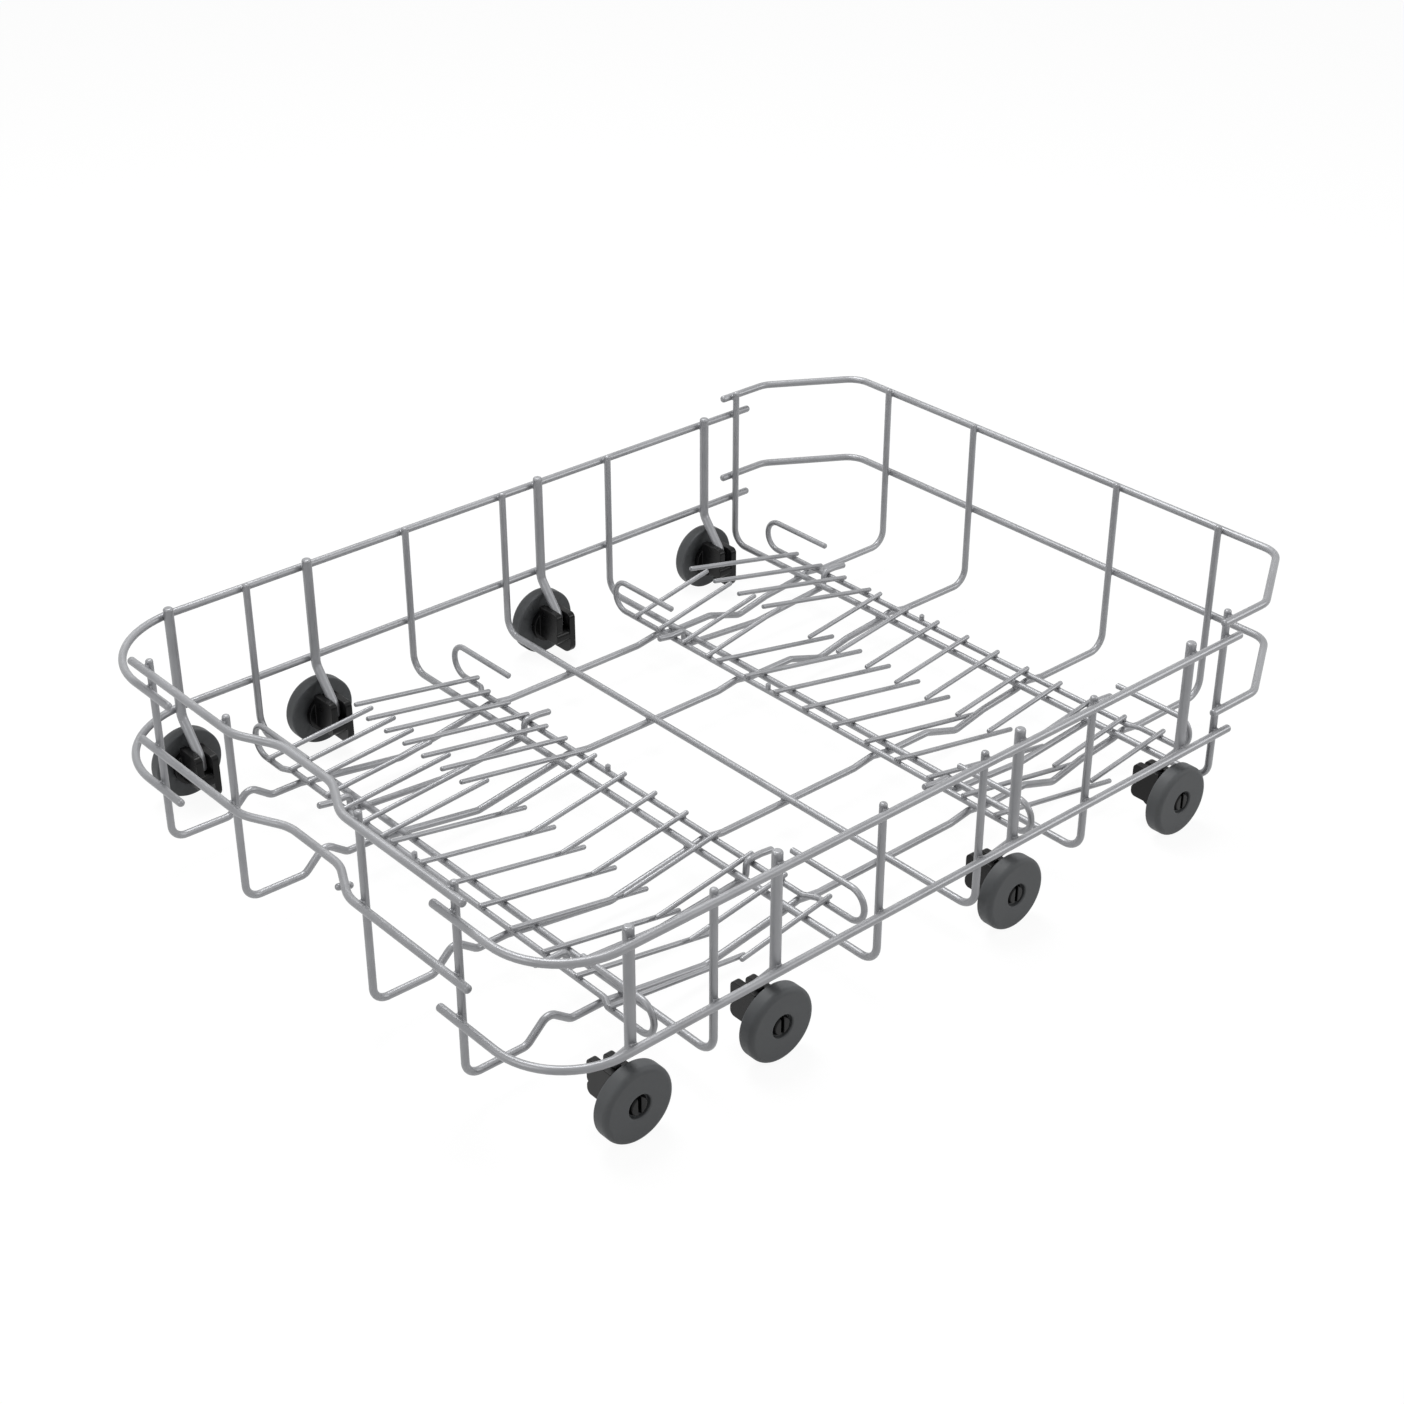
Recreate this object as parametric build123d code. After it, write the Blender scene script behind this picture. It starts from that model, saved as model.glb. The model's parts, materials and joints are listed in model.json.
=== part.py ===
from build123d import *

from math import cos, radians
import os

# Lower basket of a slim dishwasher, in millimetres: +X right, +Y back, +Z up, floor at Z = 0.

# Wire diameters
RIM_D = 4.3
WIRE_D = 4.0
WHEEL_WIRE_D = 5.5
HINGE_WIRE_D = 3.7
BAR_D = 3.4
TINE_D = 2.8

# Welding and running gaps
WELD_SINK = 0.15
TINE_SINK = 0.05
HINGE_GAP = 0.3

# Rim wires: half width and half depth of the basket on the wire centres, and heights
RIM_X = 195.0
RIM_Y = 266.0
SIDE_RIM_Z = {"upper": 109.0, "lower": 52.0}
END_RIM_RISE = 12.0
BACK_RIM_Z = {"upper": SIDE_RIM_Z["upper"] + END_RIM_RISE, "lower": 67.0}
FRONT_RIM_Z = {"upper": SIDE_RIM_Z["upper"] + END_RIM_RISE, "lower": 75.0}
RIM_OVERRUN = 12.5
LONG_OVERRUN = 24.0
TIP_ABOVE_RIM = 4.2
WHEEL_TIP_ABOVE_RIM = 6.5
TIP_CHAMFER = 0.8

# Corners of the rim wires, in plan
SIDE_REAR_Y = {"left": 201.0, "right": 195.0}
LEFT_WRAP_CUT = (33.0, 37.0)
LEFT_WRAP_R = 22.0
RIGHT_WRAP_R = 40.0
BACK_CUT = (32.0, 52.0)
BACK_BEND_R = 15.0
BACK_END_Y = 178.0

# Hand recess in the front wires
RECESS_X = -2.0
RECESS_DEPTH = 12.0
RECESS_FLAT = 22.0
RECESS_MOUTH = 46.0
RECESS_R = 25.0

# Wires of the tub
CROSS_Y = {"first": -170.4, "second": -65.8, "third": 3.0, "fourth": 82.2, "fifth": 186.5}
CROSS_Z = 20.8
CROSS_BEND_R = 10.0
LONG_X = {"left_outer": -131.9, "left_inner": -59.5, "right_inner": 52.7, "right_outer": 125.7}
LONG_FRONT_Z = 17.2
LONG_FRONT_R = 8.0
LONG_BACK_R = 10.0
FLOOR_BEND_R = 6.0
BUMP_Y = -214.5
BUMP_HALF = 13.0
BUMP_APEX_Z = 29.0
VALLEY_R = 8.0
# Valleys of the longitudinal wires: share of the way between the cross wires, and drop
FRONT_VALLEY = ((0.5, 8.2),)
REAR_VALLEY = ((0.29, 0.0), (0.52, 7.9), (0.74, 2.8))

# Folding tine rows
BAR_FROM_CROSS = {"front_rack": (13.0, 10.0), "rear_rack": (13.2, 8.6)}
BAR_ABOVE_CROSS = 3.0
SEAT_GAP = 0.9
SEAT_RUN = 14.0
LOOP_X = (-169.0, 168.5)
LOOP_HEIGHT = 19.0
LOOP_R = 9.4
LOOP_END_X = (-116.0, 116.0)
# Sideways step of each bar's left and right end
CRANK_Y = {
    "front_rack_front": (-3.2, -3.2),
    "front_rack_rear": (3.7, 3.7),
    "rear_rack_front": (0, 0),
    "rear_rack_rear": (0, 2.5),
}
CRANK_X = (-138.5, 129.0)
CRANK_RUN = 6.0
CRANK_R = 4.0
TINE_OVERHANG = 3.5
SHORT_OVERHANG = 2.2
ROW_SHIFT = 3.2
STOP_PIN_D = 3.0
STOP_PIN_HEIGHT = 5.2
STOP_PIN_X = {"front_rack": -24.5, "rear_rack": -32.0}

# Hinge wires that hold the bars down
HINGE_X = {"front_rack": (-92.6, 92.1), "rear_rack": (-113.0, 104.5)}
HOOK_HALF = 5.2
HOOK_R = 3.0
HINGE_VALLEY_Z = 13.0
FRONT_TAIL = (8.5, 1.5)
REAR_TAIL = (8.5, -1.0)

# Wheels and their clips
WHEEL_FROM_CROSS = {"first": -48.0, "second": 38.5, "third": 25.6, "fourth": -27.3}
WHEEL_D = 40.0
WHEEL_INNER_X = 187.5
WHEEL_OUTER_X = 196.5
WHEEL_EDGE_R = 3.0
WHEEL_RIM_R = 18.4
DISH_DEPTH = 2.8
HUB_BORE_D = 9.0
HUB_RECESS_D = 12.6
HUB_RECESS_DEPTH = 2.9
WHEEL_WIRE_BEND_Z = 49.0
WHEEL_WIRE_FOOT = (174.65, 29.5)
WHEEL_WIRE_R = (8.0, 6.0)
CLIP_INNER_X = 167.0
CLIP_OUTER_X = 184.2
CLIP_FRONT_Z = (20.0, 34.0)
CLIP_REAR_Z = (5.0, 32.0)
CLIP_CHEEK = 4.2
CLIP_FLOOR_Z = 14.0
CLIP_SEAT_Z = 21.5
CLIP_CORNER_R = 3.0
CLIP_FOOT_R = 6.0
FLANGE_D = 22.0
SHOULDER_D = 15.0
SNAP_D = 8.9
BARB_D = 11.2
BARB_TIP_D = 8.8
SNAP_SLOT = 1.8

# Sizes that follow from the ones above
CROSS_X = RIM_X - (RIM_D + WIRE_D) / 2 + WELD_SINK
WHEEL_WIRE_X = RIM_X - (RIM_D + WHEEL_WIRE_D) / 2 + WELD_SINK
LONG_Y = RIM_Y - (RIM_D + WIRE_D) / 2 + WELD_SINK
LONG_Z = CROSS_Z - WIRE_D + WELD_SINK
BAR_Z = CROSS_Z + BAR_ABOVE_CROSS
SEAT_Z = BAR_Z - (BAR_D + WIRE_D) / 2 - SEAT_GAP
ROW_Y = {
    "front_rack_front": CROSS_Y["first"] - BAR_FROM_CROSS["front_rack"][0],
    "front_rack_rear": CROSS_Y["second"] + BAR_FROM_CROSS["front_rack"][1],
    "rear_rack_front": CROSS_Y["fourth"] - BAR_FROM_CROSS["rear_rack"][0],
    "rear_rack_rear": CROSS_Y["fifth"] + BAR_FROM_CROSS["rear_rack"][1],
}
WHEEL_Y = {
    "first": CROSS_Y["first"] + WHEEL_FROM_CROSS["first"],
    "second": CROSS_Y["first"] + WHEEL_FROM_CROSS["second"],
    "third": CROSS_Y["third"] + WHEEL_FROM_CROSS["third"],
    "fourth": CROSS_Y["fifth"] + WHEEL_FROM_CROSS["fourth"],
}
HINGE_Z = CROSS_Z - (WIRE_D + HINGE_WIRE_D) / 2 + WELD_SINK
HOOK_Z = BAR_Z + (BAR_D + HINGE_WIRE_D) / 2 + HINGE_GAP
TINE_RISE = (BAR_D + TINE_D) / 2 - TINE_SINK
AXLE_Z = WHEEL_D / 2


def bent_wire(points, radii, diameter, tip=TIP_CHAMFER):
    """Round wire along straight runs joined by tangent bends, with eased ends."""
    path = FilletPolyline(*points, radius=radii)
    section = Plane(origin=path @ 0, z_dir=path % 0) * Circle(diameter / 2)
    wire = sweep(section, path=path)
    ends = wire.faces().filter_by(GeomType.PLANE).edges()
    return chamfer(ends, tip)


def save(node, *solids):
    """Write one node's STEP file from one solid or a group of separate ones."""
    shape = solids[0] if len(solids) == 1 else Compound(children=list(solids))
    shape.label = node
    export_step(shape, f"parts/{node}.step")


# Rim wires

def side_rim(side, level):
    """Side wire that wraps round its front corner onto the outer longitudinal wire."""
    z = SIDE_RIM_Z[level]
    if side == "left":
        cut_x, cut_y = LEFT_WRAP_CUT
        overrun = LONG_OVERRUN if level == "lower" else RIM_OVERRUN
        points = [
            (-RIM_X, SIDE_REAR_Y["left"], z),
            (-RIM_X, cut_y - RIM_Y, z),
            (cut_x - RIM_X, -RIM_Y, z),
            (LONG_X["left_outer"] + overrun, -RIM_Y, z),
        ]
        return bent_wire(points, [LEFT_WRAP_R, LEFT_WRAP_R], RIM_D)
    points = [
        (RIM_X, SIDE_REAR_Y["right"], z),
        (RIM_X, -RIM_Y, z),
        (LONG_X["right_outer"] - RIM_OVERRUN, -RIM_Y, z),
    ]
    return bent_wire(points, [RIGHT_WRAP_R], RIM_D)


def back_rim(level):
    """Back wire with a cut-off corner at each side."""
    z = BACK_RIM_Z[level]
    cut_x, cut_y = BACK_CUT
    right = [
        (RIM_X - cut_x, RIM_Y, z),
        (RIM_X, RIM_Y - cut_y, z),
        (RIM_X, BACK_END_Y, z),
    ]
    left = [(-x, y, z) for x, y, z in reversed(right)]
    return bent_wire(left + right, [BACK_BEND_R] * 4, RIM_D)


def front_rim(level):
    """Front wire that bows inwards to make room for a hand."""
    z = FRONT_RIM_Z[level]
    bow_y = RECESS_DEPTH - RIM_Y
    points = [
        (LONG_X["left_outer"] - RIM_OVERRUN, -RIM_Y, z),
        (RECESS_X - RECESS_MOUTH, -RIM_Y, z),
        (RECESS_X - RECESS_FLAT, bow_y, z),
        (RECESS_X + RECESS_FLAT, bow_y, z),
        (RECESS_X + RECESS_MOUTH, -RIM_Y, z),
        (LONG_X["right_outer"] + RIM_OVERRUN, -RIM_Y, z),
    ]
    return bent_wire(points, [RECESS_R] * 4, RIM_D)


# Wires of the tub

def cross_wire(y, top_z):
    """One U from rim to rim across the basket."""
    points = [
        (-CROSS_X, y, top_z),
        (-CROSS_X, y, CROSS_Z),
        (CROSS_X, y, CROSS_Z),
        (CROSS_X, y, top_z),
    ]
    return bent_wire(points, [CROSS_BEND_R, CROSS_BEND_R], WIRE_D)


def valley(points, start, end):
    """Bends of one valley between two cross wires: place along the wire, height, bend radius."""
    return [(start + share * (end - start), LONG_Z - drop, VALLEY_R) for share, drop in points]


def longitudinal_wire(x):
    """One U from front to back, under the cross wires, with a bump and two valleys in its floor."""
    front_top = FRONT_RIM_Z["upper"] + TIP_ABOVE_RIM
    back_top = BACK_RIM_Z["upper"] + TIP_ABOVE_RIM
    front_bar = ROW_Y["front_rack_front"]
    second_bar = ROW_Y["front_rack_rear"]
    third_bar = ROW_Y["rear_rack_front"]
    back_bar = ROW_Y["rear_rack_rear"]
    floor = [
        (BUMP_Y - BUMP_HALF, LONG_FRONT_Z - 0.5, FLOOR_BEND_R),
        (BUMP_Y, BUMP_APEX_Z, FLOOR_BEND_R),
        (BUMP_Y + BUMP_HALF, SEAT_Z + 0.1, FLOOR_BEND_R),
        (front_bar, SEAT_Z, FLOOR_BEND_R),
        (CROSS_Y["first"], LONG_Z, FLOOR_BEND_R),
        *valley(FRONT_VALLEY, CROSS_Y["first"], CROSS_Y["second"]),
        (CROSS_Y["second"], LONG_Z, FLOOR_BEND_R),
        (second_bar, SEAT_Z, FLOOR_BEND_R),
        (second_bar + SEAT_RUN, LONG_Z, FLOOR_BEND_R),
        (third_bar - SEAT_RUN, LONG_Z, FLOOR_BEND_R),
        (third_bar, SEAT_Z, FLOOR_BEND_R),
        (CROSS_Y["fourth"], LONG_Z, FLOOR_BEND_R),
        *valley(REAR_VALLEY, CROSS_Y["fourth"], CROSS_Y["fifth"]),
        (CROSS_Y["fifth"], LONG_Z, FLOOR_BEND_R),
        (back_bar, SEAT_Z, FLOOR_BEND_R),
        (back_bar + SEAT_RUN, LONG_Z, FLOOR_BEND_R),
    ]
    points = [(x, -LONG_Y, front_top), (x, -LONG_Y, LONG_FRONT_Z)]
    points += [(x, y, z) for y, z, _ in floor]
    points += [(x, LONG_Y, LONG_Z), (x, LONG_Y, back_top)]
    radii = [LONG_FRONT_R] + [r for _, _, r in floor] + [LONG_BACK_R]
    return bent_wire(points, radii, WIRE_D)


def wheel_wire(side, y):
    """Upright that carries one wheel: straight, then a slanted run down into the clip."""
    foot_x, foot_z = WHEEL_WIRE_FOOT
    profile = [
        (WHEEL_WIRE_X, SIDE_RIM_Z["upper"] + WHEEL_TIP_ABOVE_RIM),
        (WHEEL_WIRE_X, WHEEL_WIRE_BEND_Z),
        (foot_x, foot_z),
        (foot_x, CLIP_SEAT_Z),
    ]
    points = [(side * x, y, z) for x, z in profile]
    return bent_wire(points, list(WHEEL_WIRE_R), WHEEL_WIRE_D)


def hinge_wire(x, front_bar, front_cross, rear_cross, rear_bar):
    """Wire under two cross wires whose ends hook over the front and rear bars of one rack."""
    tail_y, tail_z = FRONT_TAIL
    flick_y, flick_z = REAR_TAIL
    valley_y = (front_cross + rear_cross) / 2
    drop = (HINGE_Z - HINGE_VALLEY_Z) / (valley_y - front_cross)
    front_riser = (front_bar + front_cross) / 2
    rear_riser = (rear_bar + rear_cross) / 2
    front_foot_z = HINGE_Z + drop * (front_cross - front_riser)
    rear_foot_z = HINGE_Z + drop * (rear_riser - rear_cross)
    points = [
        (x, front_bar - HOOK_HALF - tail_y, HOOK_Z + tail_z),
        (x, front_bar - HOOK_HALF, HOOK_Z),
        (x, front_riser - 0.5, HOOK_Z),
        (x, front_riser, front_foot_z),
        (x, valley_y, HINGE_VALLEY_Z),
        (x, rear_riser, rear_foot_z),
        (x, rear_riser + 0.5, HOOK_Z),
        (x, rear_bar + HOOK_HALF, HOOK_Z),
        (x, rear_bar + HOOK_HALF + flick_y, HOOK_Z + flick_z),
    ]
    radii = [HOOK_R, HOOK_R, HOOK_R, VALLEY_R, HOOK_R, HOOK_R, HOOK_R]
    return bent_wire(points, radii, HINGE_WIRE_D)


# Tine rows

def row_bar(y, left_step, right_step, pin_x):
    """Bar of one tine row: a loop at each end that stops the row when it is up, and a stop pin."""
    top_z = BAR_Z + LOOP_HEIGHT
    left_y = y + left_step
    right_y = y + right_step
    points = [(LOOP_END_X[0], left_y, top_z), (LOOP_X[0], left_y, top_z), (LOOP_X[0], left_y, BAR_Z)]
    radii = [LOOP_R, LOOP_R]
    if left_step:
        points += [(CRANK_X[0] - CRANK_RUN, left_y, BAR_Z), (CRANK_X[0], y, BAR_Z)]
        radii += [CRANK_R, CRANK_R]
    if right_step:
        points += [(CRANK_X[1], y, BAR_Z), (CRANK_X[1] + CRANK_RUN, right_y, BAR_Z)]
        radii += [CRANK_R, CRANK_R]
    points += [(LOOP_X[1], right_y, BAR_Z), (LOOP_X[1], right_y, top_z), (LOOP_END_X[1], right_y, top_z)]
    radii += [LOOP_R, LOOP_R]
    bar = bent_wire(points, radii, BAR_D)
    pin = Pos(pin_x, y, BAR_Z) * Cylinder(
        STOP_PIN_D / 2, STOP_PIN_HEIGHT, align=(Align.CENTER, Align.CENTER, Align.MIN)
    )
    return bar + chamfer(pin.edges().group_by(Axis.Z)[-1], TIP_CHAMFER)


def tine(x, bar_y, facing, length, angle):
    """Straight tine lying across the bar, facing +Y or -Y, raised from the floor plane by the angle."""
    over_long = any(abs(x - wire_x) < WIRE_D for wire_x in LONG_X.values())
    overhang = SHORT_OVERHANG if over_long else TINE_OVERHANG
    whole = length + overhang
    rod = Cylinder(TINE_D / 2, whole, align=(Align.CENTER, Align.CENTER, Align.MIN))
    rod = chamfer(rod.edges().filter_by(GeomType.CIRCLE), TIP_CHAMFER)
    rod = Pos(0, 0, -overhang) * rod
    tilt = facing * (angle - 90)
    z = BAR_Z + TINE_RISE / cos(radians(angle))
    return Pos(x, bar_y, z) * Rot(tilt, 0, 0) * rod


def row_tines(y, left_step, right_step, facing, shift, groups):
    """All tines of one row; each group is count, first x, pitch, length and angle."""
    tines = []
    for count, first_x, pitch, length, angle in groups:
        for step in range(count):
            x = first_x + pitch * step - shift
            bar_y = y
            if x < CRANK_X[0]:
                bar_y += left_step
            if x > CRANK_X[1]:
                bar_y += right_step
            tines.append(tine(x, bar_y, facing, length, angle))
    return tines


# Wheels and clips

def wheel():
    """Right-hand wheel on the X axis: dished inner side, eased tread edge, recessed hub."""
    tread_r = WHEEL_D / 2
    web_x = WHEEL_INNER_X + DISH_DEPTH
    recess_x = WHEEL_OUTER_X - HUB_RECESS_DEPTH
    profile = [
        (web_x, HUB_BORE_D / 2),
        (web_x, SHOULDER_D / 2 + 1),
        (WHEEL_INNER_X, WHEEL_RIM_R),
        (WHEEL_INNER_X, tread_r),
        (WHEEL_OUTER_X, tread_r),
        (WHEEL_OUTER_X, HUB_RECESS_D / 2),
        (recess_x, HUB_RECESS_D / 2),
        (recess_x, HUB_BORE_D / 2),
    ]
    section = make_face(Polyline(*profile, close=True))
    corner = section.vertices().sort_by_distance((WHEEL_OUTER_X, tread_r, 0))[0]
    return revolve(fillet(corner, WHEEL_EDGE_R), Axis.X)


def round_section(x_low, x_high, low_d, high_d):
    """Cone or cylinder along X between two faces."""
    outline = Polyline((x_low, 0), (x_high, 0), (x_high, high_d / 2), (x_low, low_d / 2), close=True)
    return revolve(make_face(outline), Axis.X)


def clip_plate(low_z, high_z, low_y, high_y, foot_r):
    """Upright plate of the clip, on the wheel axis, with eased inner corners and a rounded foot."""
    outline = Polyline(
        (CLIP_INNER_X, low_z - AXLE_Z),
        (CLIP_OUTER_X, low_z - AXLE_Z),
        (CLIP_OUTER_X, high_z - AXLE_Z),
        (CLIP_INNER_X, high_z - AXLE_Z),
        close=True,
    )
    face = make_face(outline)
    face = fillet(face.vertices().sort_by_distance((CLIP_INNER_X, high_z - AXLE_Z, 0))[0], CLIP_CORNER_R)
    face = fillet(face.vertices().sort_by_distance((CLIP_INNER_X, low_z - AXLE_Z, 0))[0], foot_r)
    return Pos(0, high_y, 0) * extrude(Plane.XZ * face, high_y - low_y)


def wheel_clip():
    """Right-hand clip on the wheel axis: fork for the wire, flange, and split snap pin for the wheel."""
    half_gap = WHEEL_WIRE_D / 2 - 0.05
    side_y = half_gap + CLIP_CHEEK
    front = clip_plate(*CLIP_FRONT_Z, -side_y, -half_gap, CLIP_CORNER_R)
    rear = clip_plate(*CLIP_REAR_Z, half_gap, side_y, CLIP_FOOT_R)
    floor = clip_plate(CLIP_FLOOR_Z, CLIP_SEAT_Z, -side_y, side_y, CLIP_CORNER_R)
    web_x = WHEEL_INNER_X + DISH_DEPTH - HINGE_GAP
    barb_x = WHEEL_OUTER_X - HUB_RECESS_DEPTH + HINGE_GAP
    tip_x = WHEEL_OUTER_X - HINGE_GAP
    clip = front + rear + floor
    clip += round_section(CLIP_OUTER_X - 0.5, WHEEL_INNER_X - HINGE_GAP, FLANGE_D, FLANGE_D)
    clip += round_section(WHEEL_INNER_X - HINGE_GAP - 0.5, web_x, SHOULDER_D, SHOULDER_D)
    clip += round_section(web_x - 0.5, barb_x + 0.2, SNAP_D, SNAP_D)
    clip += round_section(barb_x, tip_x, BARB_D, BARB_TIP_D)
    split = Pos(WHEEL_OUTER_X, 0, 0) * Box(2 * (WHEEL_OUTER_X - web_x - 1), SNAP_SLOT, WHEEL_D)
    return clip - split


# Build and write every node

os.makedirs("parts", exist_ok=True)

for level in SIDE_RIM_Z:
    for side in ("left", "right"):
        save(f"{side}_{level}_rim_wire", side_rim(side, level))
    save(f"back_{level}_rim_wire", back_rim(level))
    save(f"front_{level}_rim_wire", front_rim(level))

for name, y in CROSS_Y.items():
    rim = BACK_RIM_Z if name == "fifth" else SIDE_RIM_Z
    save(f"{name}_cross_wire", cross_wire(y, rim["upper"] + TIP_ABOVE_RIM))

for name, x in LONG_X.items():
    save(f"{name}_longitudinal_wire", longitudinal_wire(x))

for rack, crosses in (("front_rack", ("first", "second")), ("rear_rack", ("fourth", "fifth"))):
    front_cross, rear_cross = (CROSS_Y[name] for name in crosses)
    for side, x in zip(("left", "right"), HINGE_X[rack]):
        hook = hinge_wire(x, ROW_Y[f"{rack}_front"], front_cross, rear_cross, ROW_Y[f"{rack}_rear"])
        save(f"{rack}_{side}_hinge_wire", hook)

# Tine groups of each rear row: how many, then first x and pitch
FRONT_LEFT_COUNT = 7
FRONT_RIGHT_COUNT = 7
REAR_LEFT_COUNT = 4
REAR_RIGHT_COUNT = 9
LAST_COUNT = 1
FRONT_RACK_LEFT = (-150.4, 17.25)
FRONT_RACK_RIGHT = (-38.4, 25.35)
FRONT_RACK_LAST = (142.2, 0)
REAR_RACK_LEFT = (-144.2, 21.7)
REAR_RACK_RIGHT = (-69.7, 24.35)
REAR_RACK_LAST = (149.5, 0)
# Facing of each row, then its groups with the length in front of the bar and the rest angle
ROWS = {
    "front_rack_front": (
        1,
        (FRONT_LEFT_COUNT, *FRONT_RACK_LEFT, 67, 4.8),
        (FRONT_RIGHT_COUNT, *FRONT_RACK_RIGHT, 86, -10.4),
        (LAST_COUNT, *FRONT_RACK_LAST, 84, -7.5),
    ),
    "front_rack_rear": (
        -1,
        (FRONT_LEFT_COUNT, *FRONT_RACK_LEFT, 83, 9.6),
        (FRONT_RIGHT_COUNT, *FRONT_RACK_RIGHT, 63, -9),
        (LAST_COUNT, *FRONT_RACK_LAST, 58.5, -9.8),
    ),
    "rear_rack_front": (
        1,
        (REAR_LEFT_COUNT, *REAR_RACK_LEFT, 57, 11.2),
        (REAR_RIGHT_COUNT, *REAR_RACK_RIGHT, 94, -10.8),
        (LAST_COUNT, *REAR_RACK_LAST, 94, -10.8),
    ),
    "rear_rack_rear": (
        -1,
        (REAR_LEFT_COUNT, *REAR_RACK_LEFT, 90, 12.3),
        (REAR_RIGHT_COUNT, *REAR_RACK_RIGHT, 59, -8.2),
        (LAST_COUNT, *REAR_RACK_LAST, 59, -7.5),
    ),
}
for row, (facing, *groups) in ROWS.items():
    in_front = facing > 0
    shift = ROW_SHIFT if in_front else 0
    steps = CRANK_Y[row]
    pin_x = STOP_PIN_X[row.rsplit("_", 1)[0]]
    save(f"{row}_tine_bar", row_bar(ROW_Y[row], *steps, pin_x))
    save(f"{row}_tines", *row_tines(ROW_Y[row], *steps, facing, shift, groups))

right_wheel = wheel()
right_clip = wheel_clip()
for side, sign in (("left", -1), ("right", 1)):
    one_wheel = right_wheel if sign > 0 else mirror(right_wheel, Plane.YZ)
    one_clip = right_clip if sign > 0 else mirror(right_clip, Plane.YZ)
    clips = []
    for name, y in WHEEL_Y.items():
        axle = Pos(0, y, AXLE_Z)
        save(f"{side}_{name}_wheel", axle * one_wheel)
        save(f"{side}_{name}_wheel_wire", wheel_wire(sign, y))
        clips.append(axle * one_clip)
    save(f"{side}_wheel_clips", *clips)
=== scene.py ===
import json
import math

import bmesh
import bpy
from mathutils import Matrix, Vector


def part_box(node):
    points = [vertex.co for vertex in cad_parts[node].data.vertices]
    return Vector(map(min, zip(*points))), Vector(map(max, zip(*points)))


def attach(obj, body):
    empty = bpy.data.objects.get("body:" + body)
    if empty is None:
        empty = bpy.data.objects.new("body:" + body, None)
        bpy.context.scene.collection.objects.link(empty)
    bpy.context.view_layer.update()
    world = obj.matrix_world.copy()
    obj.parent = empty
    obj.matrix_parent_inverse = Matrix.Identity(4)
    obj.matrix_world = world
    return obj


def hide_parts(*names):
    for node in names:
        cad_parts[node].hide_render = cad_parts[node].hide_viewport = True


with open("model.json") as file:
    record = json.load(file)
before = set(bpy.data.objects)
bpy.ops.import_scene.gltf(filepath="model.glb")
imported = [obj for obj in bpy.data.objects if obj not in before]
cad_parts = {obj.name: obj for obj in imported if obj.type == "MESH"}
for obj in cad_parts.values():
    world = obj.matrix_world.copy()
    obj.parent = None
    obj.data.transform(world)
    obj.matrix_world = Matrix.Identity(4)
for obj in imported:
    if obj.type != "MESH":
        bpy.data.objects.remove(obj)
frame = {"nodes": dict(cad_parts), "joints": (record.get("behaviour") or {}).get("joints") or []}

bl_info = {
    "name": "Dishwasher basket",
    "version": (1, 0, 0),
    "blender": (4, 5, 0),
    "location": "View3D > Sidebar > Basket",
    "description": "Finishes, welds and stage of a coated wire basket with folding tine rows",
    "category": "Object",
}

NODES = frame["nodes"]
# The objects of a new file go, so that only the basket is left.
for spare in ("Cube", "Light", "Camera"):
    if spare in bpy.data.objects:
        bpy.data.objects.remove(bpy.data.objects[spare])
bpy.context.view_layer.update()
MM = 0.001

# Names in the frame: each side has its sign along X, each rack the cross wires on its hinge wires
CROSS_NAMES = ("first", "second", "third", "fourth", "fifth")
LONG_NAMES = ("left_outer", "left_inner", "right_inner", "right_outer")
WHEEL_NAMES = ("first", "second", "third", "fourth")
SIDES = {"left": -1, "right": 1}
LEVELS = ("upper", "lower")
RACKS = {"front_rack": ("first", "second"), "rear_rack": ("fourth", "fifth")}
ROWS = tuple(f"{rack}_{place}" for rack in RACKS for place in ("front", "rear"))
WIRE_MATERIAL = "polyamide_dipped_steel_wire"

X_AXIS = Vector((1, 0, 0))
Y_AXIS = Vector((0, 1, 0))
Z_AXIS = Vector((0, 0, 1))
WHITE = (1.0, 1.0, 1.0, 1.0)

# Tines and bars, whose boxes don't give their radius, and the least space between two tines
TINE_R = 1.4 * MM
BAR_R = 1.7 * MM
TINE_SINK = 0.05 * MM
TINE_SPACE = 3 * MM

# Facets of the added wires and welds
ROUND_STEPS = 20
DOME_STEPS = 6
BEND_STEPS = 48
COLLAR_STEPS = 5
# Shares of a wire's radius: how far a collar climbs it, and how deep the collar's ends lie in it
COLLAR_CLIMB = 0.97
COLLAR_DEPTH = 0.3

# Easing of the imported solids: segments and least angle of the edges that are rounded
JOIN_GAP = 0.002 * MM
FLAT_ANGLE = math.radians(0.5)
NORMAL_WEIGHT = 60
TIP_EASING = (3, math.radians(30))
WHEEL_EASING = (4, math.radians(35))
CLIP_EASING = (2, math.radians(35))

# Softboxes: side and place in metres, and the spot that they aim at
LAMPS = {
    "top_lamp": (0.8, (-0.5, 0.1, 1.5)),
    "side_lamp": (0.6, (0.1, -1.5, 0.9)),
    "rear_lamp": (0.5, (1.05, 1.05, 0.75)),
}
LAMP_AIM = Vector((0, 0, 0.05))

# Width of the camera's frame in millimetres, and the picture's width and focal length in pixels
SENSOR_WIDTH = 36.0
PICTURE_WIDTH = 1404
FOCAL_PIXELS = 2372.91


# Sizes and colours that a user would change

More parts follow.
